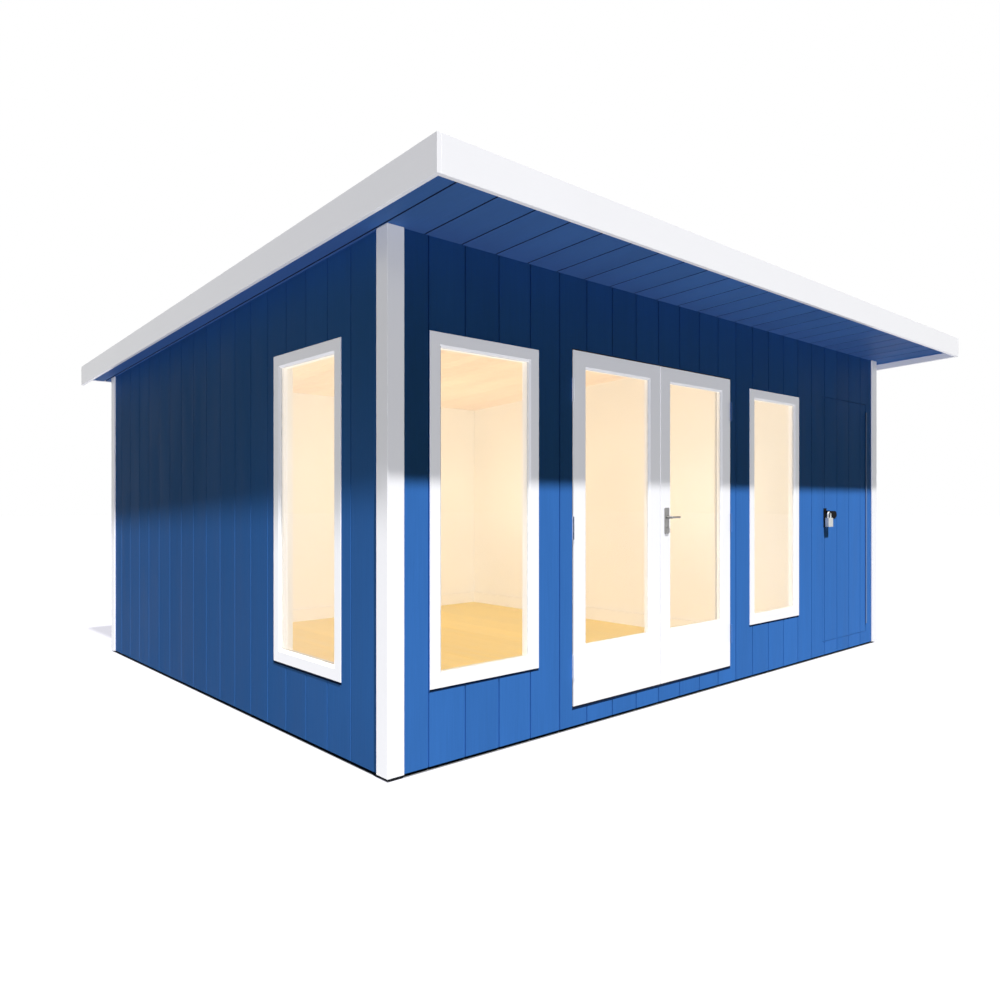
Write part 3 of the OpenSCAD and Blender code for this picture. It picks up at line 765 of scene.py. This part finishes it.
def ceiling_boards():
    """Boards under the roof on both sides of the partition."""
    low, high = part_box("ceiling_lining")
    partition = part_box("partition_wall")
    profile = vee_profile(CEILING_BOARD_W, CEILING_BOARD_EDGE)
    at = lambda a, d, t: Vector((a, t, soffit_z(t) + SOFFIT_T - CEILING_BOARD_T + d))
    bm = bmesh.new()
    for span in ((low.x, partition[0].x), (partition[1].x, high.x)):
        lay_boards(bm, span, CEILING_BOARD_W, low.x, profile, CEILING_BOARD_T, low.y, lambda a: high.y, at)
    built(bm, "ceiling_boards", "building", (ceiling_paint,), ("ceiling_lining",))


# Windows and doors

def ring(bm, outer, inner, section, at, material=0, sill=None, reveal=None):
    """Sweeps a section round a rectangle. A section point is measured inward from the outer edge
    (o, w, d) or outward from the inner edge (i, w, d); rectangles are (a0, a1, t0, t1). The lowest side
    may have a material of its own, sill, and so may the face that starts at one section point: reveal
    is that point and its material."""
    corners = ((0, 2), (1, 2), (1, 3), (0, 3))
    loops = []
    for ia, it in corners:
        loop = []
        for edge, w, d in section:
            base, side = (outer, 1) if edge == "o" else (inner, -1)
            a = base[ia] + (w if ia == 0 else -w) * side
            t = base[it] + (w if it == 2 else -w) * side
            loop.append(bm.verts.new(at(a, d, t)))
        loops.append(loop)
    for k in range(4):
        here, there = loops[k], loops[(k + 1) % 4]
        for i in range(len(section)):
            j = (i + 1) % len(section)
            face = bm.faces.new((here[i], there[i], there[j], here[j]))
            face.material_index = material if sill is None or k else sill
            if reveal and section[i] == reveal[0]:
                face.material_index = reveal[1]


def joinery_section(depth):
    """Section of a frame or leaf with a sloped bead in front of the glass."""
    return [("o", 0.0, EDGE_R), ("o", EDGE_R * 0.3, EDGE_R * 0.3), ("o", EDGE_R, 0.0),
            ("i", BEAD_W + BEAD_EDGE, 0.0), ("i", BEAD_W, BEAD_EDGE), ("i", BEAD_W, BEAD_RECESS * 0.4),
            ("i", BEAD_LIP, BEAD_RECESS), REVEAL_START,
            ("i", 0.0, depth - EDGE_R), ("i", EDGE_R, depth), ("o", 0.0, depth)]


def gasket_section(glass_front):
    """Section of the gasket between the bead and the glass."""
    return [("i", GASKET_ROOT, glass_front - GASKET_HEEL), ("i", -GASKET_REACH, glass_front - GASKET_LIP),
            ("i", -GASKET_REACH, glass_front), ("i", GASKET_ROOT, glass_front)]


def inner_rect(outer, side, low, high):
    """A rectangle drawn in by a width at both sides, at the foot and at the head."""
    return (outer[0] + side, outer[1] - side, outer[2] + low, outer[3] - high)


def glazed(name, node, body, outer, inner, depth, glass_front, at, lining=0.0):
    """A frame or leaf with its bead, the gasket against its pane and a painted lining behind it."""
    bm = bmesh.new()
    ring(bm, outer, inner, joinery_section(depth - lining), at, reveal=(REVEAL_START, 2))
    ring(bm, outer, inner, gasket_section(glass_front), at, 1)
    built(bm, name, body, (white_joinery, gasket, cream), (node,))
    if lining:
        front = depth - lining
        section = [("o", LINING_T, front), ("o", LINING_T, depth), ("o", 0.0, depth), ("o", 0.0, front)]
        bm = bmesh.new()
        ring(bm, outer, inner, section, at)
        built(bm, name + "_lining", body, (cream,), (node,))


def front_window(name, node):
    """A fixed light of the front wall."""
    low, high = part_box(node)
    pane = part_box("window_glass")[0].y
    outer = (low.x, high.x, low.z, high.z)
    w = WINDOW_FRAME_W
    at = wall_place((0, low.y, 0), (1, 0, 0), (0, 1, 0))
    glazed(name, node, "building", outer, inner_rect(outer, w, w, w), high.y - low.y, pane - low.y, at,
           REVEAL_LINING)


def side_window():
    """The fixed light of the left wall."""
    node = "side_window_frame"
    low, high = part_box(node)
    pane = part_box("window_glass")[0].x
    outer = (-high.y, -low.y, low.z, high.z)
    w = WINDOW_FRAME_W
    at = wall_place((low.x, 0, 0), (0, -1, 0), (1, 0, 0))
    glazed("side_window", node, "building", outer, inner_rect(outer, w, w, w), high.x - low.x,
           pane - low.x, at, REVEAL_LINING)


def door_leaf(name, node, pane_node, body):
    """A glazed leaf of the double doors."""
    low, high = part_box(node)
    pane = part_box(pane_node)
    outer = (low.x, high.x, low.z, high.z)
    inner = inner_rect(outer, STILE_W, BOTTOM_RAIL_H, TOP_RAIL_H)
    at = wall_place((0, low.y, 0), (1, 0, 0), (0, 1, 0))
    glazed(name, node, body, outer, inner, high.y - low.y, pane[0].y - low.y, at)


def door_seals():
    """A thin dark seal on the frame, all round the joint of the glazed leaves."""
    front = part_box("left_door_leaf")[0].y
    at = wall_place((0, front, 0), (1, 0, 0), (0, 1, 0))
    section = [("o", 0.0, DOOR_SEAL_FRONT), ("o", DOOR_SEAL_T, DOOR_SEAL_FRONT),
               ("o", DOOR_SEAL_T, DOOR_SEAL_BACK), ("o", 0.0, DOOR_SEAL_BACK)]
    bm = bmesh.new()
    ring(bm, double_door_hole, double_door_hole, section, at)
    built(bm, "door_seals", "building", (seal,))


# Screws, seams and other small things

def screw(bm, centre, out):
    """A screw head: a low dome with a round hollow in its middle."""
    side = out.orthogonal().normalized()
    up = out.cross(side)
    turns = [math.tau * k / SCREW_SIDES for k in range(SCREW_SIDES)]
    rings = []
    for share, h in ((1.0, 0.0), (0.85, 0.0007), (0.45, 0.0009), (0.35, 0.0003)):
        rings.append([bm.verts.new(centre + out * h + (side * math.cos(q) + up * math.sin(q))
                                   * (SCREW_R * share)) for q in turns])
    for lower, upper in zip(rings, rings[1:]):
        for k in range(SCREW_SIDES):
            m = (k + 1) % SCREW_SIDES
            bm.faces.new((lower[k], lower[m], upper[m], upper[k]))
    bm.faces.new(rings[-1])


def screws(name, body, material, points):
    """Screw heads that face the front, as one piece."""
    bm = bmesh.new()
    for point in points:
        screw(bm, Vector(point), Vector((0, -1, 0)))
    built(bm, name, body, (material,))


def roof_seams():
    """Two lapped seams of the membrane, from front to back."""
    low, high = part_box("roof_membrane")
    rise = high.z - soffit_z(low.y)
    at = lambda a, d, t: Vector((a, t, soffit_z(t) + rise + d))
    bm = bmesh.new()
    for share in (1 / 3, 2 / 3):
        middle = low.x + (high.x - low.x) * share
        left, right = middle - LAP_W / 2, middle + LAP_W / 2
        outline = [(left, 0.0), (left, LAP_H), (right, LAP_H * LAP_THIN), (right, 0.0)]
        prism(bm, outline, low.y, lambda a: high.y, at)
    built(bm, "roof_seams", "building", (rubber,))


def frame_hinges():
    """The fixed hinge halves as they are, those beside the left leaf apart from the others."""
    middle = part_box("left_door_leaf")[1].x
    for name, side in (("left_frame_hinges", -1), ("other_frame_hinges", 1)):
        bm = bmesh.new()
        bm.from_mesh(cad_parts["frame_hinges"].data)
        away = [vert for vert in bm.verts if (vert.co.x - middle) * side < 0]
        bmesh.ops.delete(bm, geom=away, context="VERTS")
        for face in bm.faces:
            face.material_index = 0
        mesh = bpy.data.meshes.new(name)
        bm.to_mesh(mesh)
        bm.free()
        piece(name, mesh, "building", (hinges,), ("frame_hinges",))


def handle_details():
    """Screws of the outer handle plate, and the keyhole in its lock cylinder drawn as a black patch of
    painted shade.
    """
    low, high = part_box("door_handle_plates")
    middle = (low + high) / 2
    face = low.y + PLATE_BEHIND
    heights = (low.z + PLATE_SCREW_IN, high.z - PLATE_SCREW_IN)
    screws("handle_screws", "right_door", steel, [(middle.x, face, z) for z in heights])
    at = wall_place((middle.x, low.y, middle.z - KEY_DROP), (1, 0, 0), (0, 1, 0))
    outline = [(-KEYHOLE_HALF_W, KEYHOLE_FRONT), (KEYHOLE_HALF_W, KEYHOLE_FRONT),
               (KEYHOLE_HALF_W, KEYHOLE_BACK), (-KEYHOLE_HALF_W, KEYHOLE_BACK)]
    bm = bmesh.new()
    prism(bm, outline, -KEYHOLE_HALF_H, lambda a: KEYHOLE_HALF_H, at)
    built(bm, "keyhole", "right_door", (keyway,))


def hasp_screws():
    """Screws at both ends of the upright plate of the hasp."""
    low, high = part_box("store_hasp")
    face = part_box("store_door_leaf")[0].y - HASP_T
    left = low.x + HASP_PLATE_W / 2
    heights = (low.z + HASP_SCREW_IN, high.z - HASP_SCREW_IN)
    screws("hasp_screws", "store_door", iron, [(left, face, z) for z in heights])


# Assembly

front_wall()
left_wall()
right_wall()
back_wall()
store_door()
soffit()
floor_planks()
ceiling_boards()
front_window("front_left_window", "front_left_window_frame")
front_window("front_right_window", "front_right_window_frame")
side_window()
door_leaf("left_door_joinery", "left_door_leaf", "left_door_glass", "left_door")
door_leaf("right_door_joinery", "right_door_leaf", "right_door_glass", "right_door")
door_seals()
roof_seams()
frame_hinges()
handle_details()
hasp_screws()

for post in ("front_left_post", "front_right_post", "rear_left_post", "rear_right_post"):
    eased(post, white_upright)
for board in ("front_fascia", "rear_fascia"):
    eased(board, white_across, ROOF_BOARD_EDGE, 1)
for board in ("left_barge_board", "right_barge_board"):
    eased(board, white_deep, ROOF_BOARD_EDGE, 1)
eased("skirting_boards", cream)
eased("double_door_frame", white_joinery)
eased("store_door_frame", blue_upright)

# Pieces that take a lamp of their own
WHITE_PIECES = ("front_left_post_eased", "front_right_post_eased", "rear_left_post_eased",
                "rear_right_post_eased", "front_fascia_eased", "rear_fascia_eased",
                "left_barge_board_eased", "right_barge_board_eased", "front_left_window",
                "front_right_window", "side_window", "left_door_joinery", "right_door_joinery",
                "left_frame_hinges", "left_door_hinges")
ROOF_EDGES = tuple(name for name in WHITE_PIECES if "fascia" in name or "barge" in name)
UNDER_EAVES = tuple(name for name in WHITE_PIECES if name not in ROOF_EDGES)
FAR_WALLS = ("right_cladding", "back_cladding")
ROOM_PIECES = ("office_lining", "partition_wall", "ceiling_boards", "skirting_boards_eased",
               "front_left_window_lining", "front_right_window_lining", "side_window_lining")
SIDE_PIECES = ("front_left_post_eased", "rear_left_post_eased", "side_window")

dress(cream, "office_lining", "partition_wall")
dress(sheathing, "store_lining", "floor_deck", "roof_panel")
dress(ground_timber, "floor_bearers")
dress(rubber, "roof_membrane")
dress(glass, "window_glass", "left_door_glass", "right_door_glass")
dress(hinges, "left_door_hinges", "right_door_hinges", "store_door_hinge")
dress(lock_steel, "store_padlock")
dress(steel, "door_handle_plates", "door_lever")
dress(iron, "store_hasp")


# Stage, light and camera

def path_factor(tree):
    """1 on rays that show the background: from the camera, off gloss and through glass."""
    rays = tree.nodes.new("ShaderNodeLightPath").outputs
    seen = math_node(tree, "MAXIMUM", rays["Is Camera Ray"], rays["Is Glossy Ray"])
    return math_node(tree, "MAXIMUM", seen, rays["Is Transmission Ray"])


def outside_painted_shadow(tree):
    """0 on the ground under the cabin, painted dark as its shadow, and 1 outside it."""
    axes = object_axes(tree)
    inside = [math_node(tree, "COMPARE", axes[axis], (low + high) / 2, (high - low) / 2 - STAGE_MARGIN)
              for axis, low, high in (("X", LEFT, RIGHT), ("Y", FRONT, BACK))]
    return math_node(tree, "SUBTRACT", 1.0, math_node(tree, "MULTIPLY", *inside))


def stage_floor():
    """A wide pale floor, drawn paler than the light that it throws back at the walls; under the cabin its
    glow is cut, as painted shadow.
    """
    bm = bmesh.new()
    bmesh.ops.create_grid(bm, x_segments=8, y_segments=8, size=STAGE_SIZE)
    mesh = to_mesh(bm, "floor")
    made = bpy.data.objects.new("floor", mesh)
    bpy.context.scene.collection.objects.link(made)
    material = bpy.data.materials.new("stage_floor")
    material.use_nodes = True
    tree = material.node_tree
    tree.nodes.remove(tree.nodes["Principled BSDF"])
    glow = tree.nodes.new("ShaderNodeEmission")
    glow.inputs["Color"].default_value = (*GROUND_GLOW, 1.0)
    # the glow is left out under the cabin, as painted shadow
    tree.links.new(outside_painted_shadow(tree), glow.inputs["Strength"])
    sunlit = tree.nodes.new("ShaderNodeBsdfDiffuse")
    sunlit.inputs["Color"].default_value = (*GROUND_SUNLIT, 1.0)
    seen = tree.nodes.new("ShaderNodeAddShader")
    tree.links.new(glow.outputs["Emission"], seen.inputs[0])
    tree.links.new(sunlit.outputs["BSDF"], seen.inputs[1])
    thrown = tree.nodes.new("ShaderNodeBsdfDiffuse")
    thrown.inputs["Color"].default_value = (*GROUND_BOUNCE, 1.0)
    mix = tree.nodes.new("ShaderNodeMixShader")
    tree.links.new(path_factor(tree), mix.inputs["Fac"])
    tree.links.new(thrown.outputs["BSDF"], mix.inputs[1])
    tree.links.new(seen.outputs["Shader"], mix.inputs[2])
    tree.links.new(mix.outputs["Shader"], tree.nodes["Material Output"].inputs["Surface"])
    mesh.materials.append(material)


def sky():
    """White behind the object, and an even dim light on it."""
    world = bpy.context.scene.world or bpy.data.worlds.new("sky")
    bpy.context.scene.world = world
    world.use_nodes = True
    tree = world.node_tree
    light = tree.nodes["Background"]
    light.inputs["Color"].default_value = (*SKY, 1.0)
    light.inputs["Strength"].default_value = SKY_STRENGTH
    white = tree.nodes.new("ShaderNodeBackground")
    white.inputs["Color"].default_value = (*PLAIN_LIGHT, 1.0)
    mix = tree.nodes.new("ShaderNodeMixShader")
    tree.links.new(path_factor(tree), mix.inputs["Fac"])
    tree.links.new(light.outputs["Background"], mix.inputs[1])
    tree.links.new(white.outputs["Background"], mix.inputs[2])
    tree.links.new(mix.outputs["Shader"], tree.nodes["World Output"].inputs["Surface"])


def sun():
    """The sun that throws the shadow of the eave."""
    lamp = bpy.data.lights.new("sun", "SUN")
    lamp.energy = SUN_STRENGTH
    lamp.angle = math.radians(SUN_ANGLE)
    made = bpy.data.objects.new("sun", lamp)
    made.rotation_euler = Vector(SUN_FROM).to_track_quat("Z", "Y").to_euler()
    bpy.context.scene.collection.objects.link(made)


def unseen(lamp):
    """Adds a lamp to the scene, out of sight of the camera, of gloss and through glass."""
    made = bpy.data.objects.new(lamp.name, lamp)
    made.visible_camera = False
    made.visible_glossy = False
    made.visible_transmission = False
    bpy.context.scene.collection.objects.link(made)
    return made


def disk(name, takers, place, away, size, power, colour=PLAIN_LIGHT, shadow=False):
    """A disk lamp at a place, turned against away, that only the named pieces take."""
    lamp = bpy.data.lights.new(name, "AREA")
    lamp.shape = "DISK"
    lamp.size = size
    lamp.energy = power
    lamp.color = colour
    lamp.use_shadow = shadow
    made = unseen(lamp)
    made.location = place
    made.rotation_euler = away.to_track_quat("Z", "Y").to_euler()
    group = bpy.data.collections.new(name + "_takers")
    for taker in takers:
        group.objects.link(bpy.data.objects[taker])
    made.light_linking.receiver_collection = group


def fill(name, takers, strength, colour=PLAIN_LIGHT, source=FILL_FROM):
    """A soft light without shadows, from low on the front left if no source is given."""
    away = Vector(source).normalized()
    disk(name, takers, away * FILL_FAR, away, FILL_SIZE, strength * math.pi * FILL_FAR ** 2, colour)


def side_sun():
    """A far lamp over the left side, for the white pieces that catch the sun there."""
    away = Vector(SIDE_SUN_FROM).normalized()
    size = 2.0 * SIDE_SUN_FAR * math.tan(math.radians(SUN_ANGLE) / 2)
    power = SIDE_SUN_STRENGTH * math.pi * SIDE_SUN_FAR ** 2
    disk("side_sun", SIDE_PIECES, away * SIDE_SUN_FAR, away, size, power, shadow=True)


def corner_fill():
    """A weak lamp beside the front end of the left wall, which the boards there take."""
    place = Vector((LEFT, FRONT, 0.0)) + Vector(CORNER_FILL_AT)
    away = Vector((-1.0, 0.0, 0.0))
    disk("corner_fill", ("left_cladding",), place, away, CORNER_FILL_SIZE, CORNER_FILL_W)


def office_lamps():
    """Six soft white lamps, spread over the office so that its walls and reveals are evenly lit."""
    low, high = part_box("office_floor")
    middle, half = (low + high) / 2, (high - low) / 2
    for side in (-0.8, -0.05, 0.7):
        for deep in (-0.6, 0.5):
            lamp = bpy.data.lights.new("office_lamp", "POINT")
            lamp.energy = OFFICE_LAMP_W
            lamp.shadow_soft_size = OFFICE_LAMP_SIZE
            unseen(lamp).location = (middle.x + side * half.x, middle.y + deep * half.y, OFFICE_LAMP_Z)


def camera():
    """The camera of the photograph, level and shifted."""
    data = bpy.data.cameras.new("camera")
    data.lens = CAMERA_LENS
    data.sensor_width = CAMERA_SENSOR
    data.sensor_fit = "HORIZONTAL"
    data.shift_x, data.shift_y = CAMERA_SHIFT
    made = bpy.data.objects.new("camera", data)
    made.location = Vector((LEFT, FRONT, 0.0)) + Vector(CAMERA_AT)
    made.rotation_euler = (math.radians(90.0), 0.0, math.radians(CAMERA_TURN))
    bpy.context.scene.collection.objects.link(made)
    bpy.context.scene.camera = made


stage_floor()
sky()
sun()
fill("roof_edge_fill", ROOF_EDGES, ROOF_EDGE_FILL, ROOF_EDGE_LIGHT)
fill("joinery_fill", UNDER_EAVES, JOINERY_FILL, JOINERY_LIGHT)
fill("soffit_fill", ("soffit",), SOFFIT_FILL, SOFFIT_LIGHT)
fill("far_fill", WHITE_PIECES, FAR_FILL, source=FAR_FILL_FROM)
fill("far_wall_fill", FAR_WALLS, FAR_WALL_FILL, source=FAR_FILL_FROM)
fill("room_fill", ROOM_PIECES, ROOM_FILL, ROOM_LIGHT)
side_sun()
corner_fill()
office_lamps()
camera()
bpy.context.scene.view_settings.view_transform = "Standard"
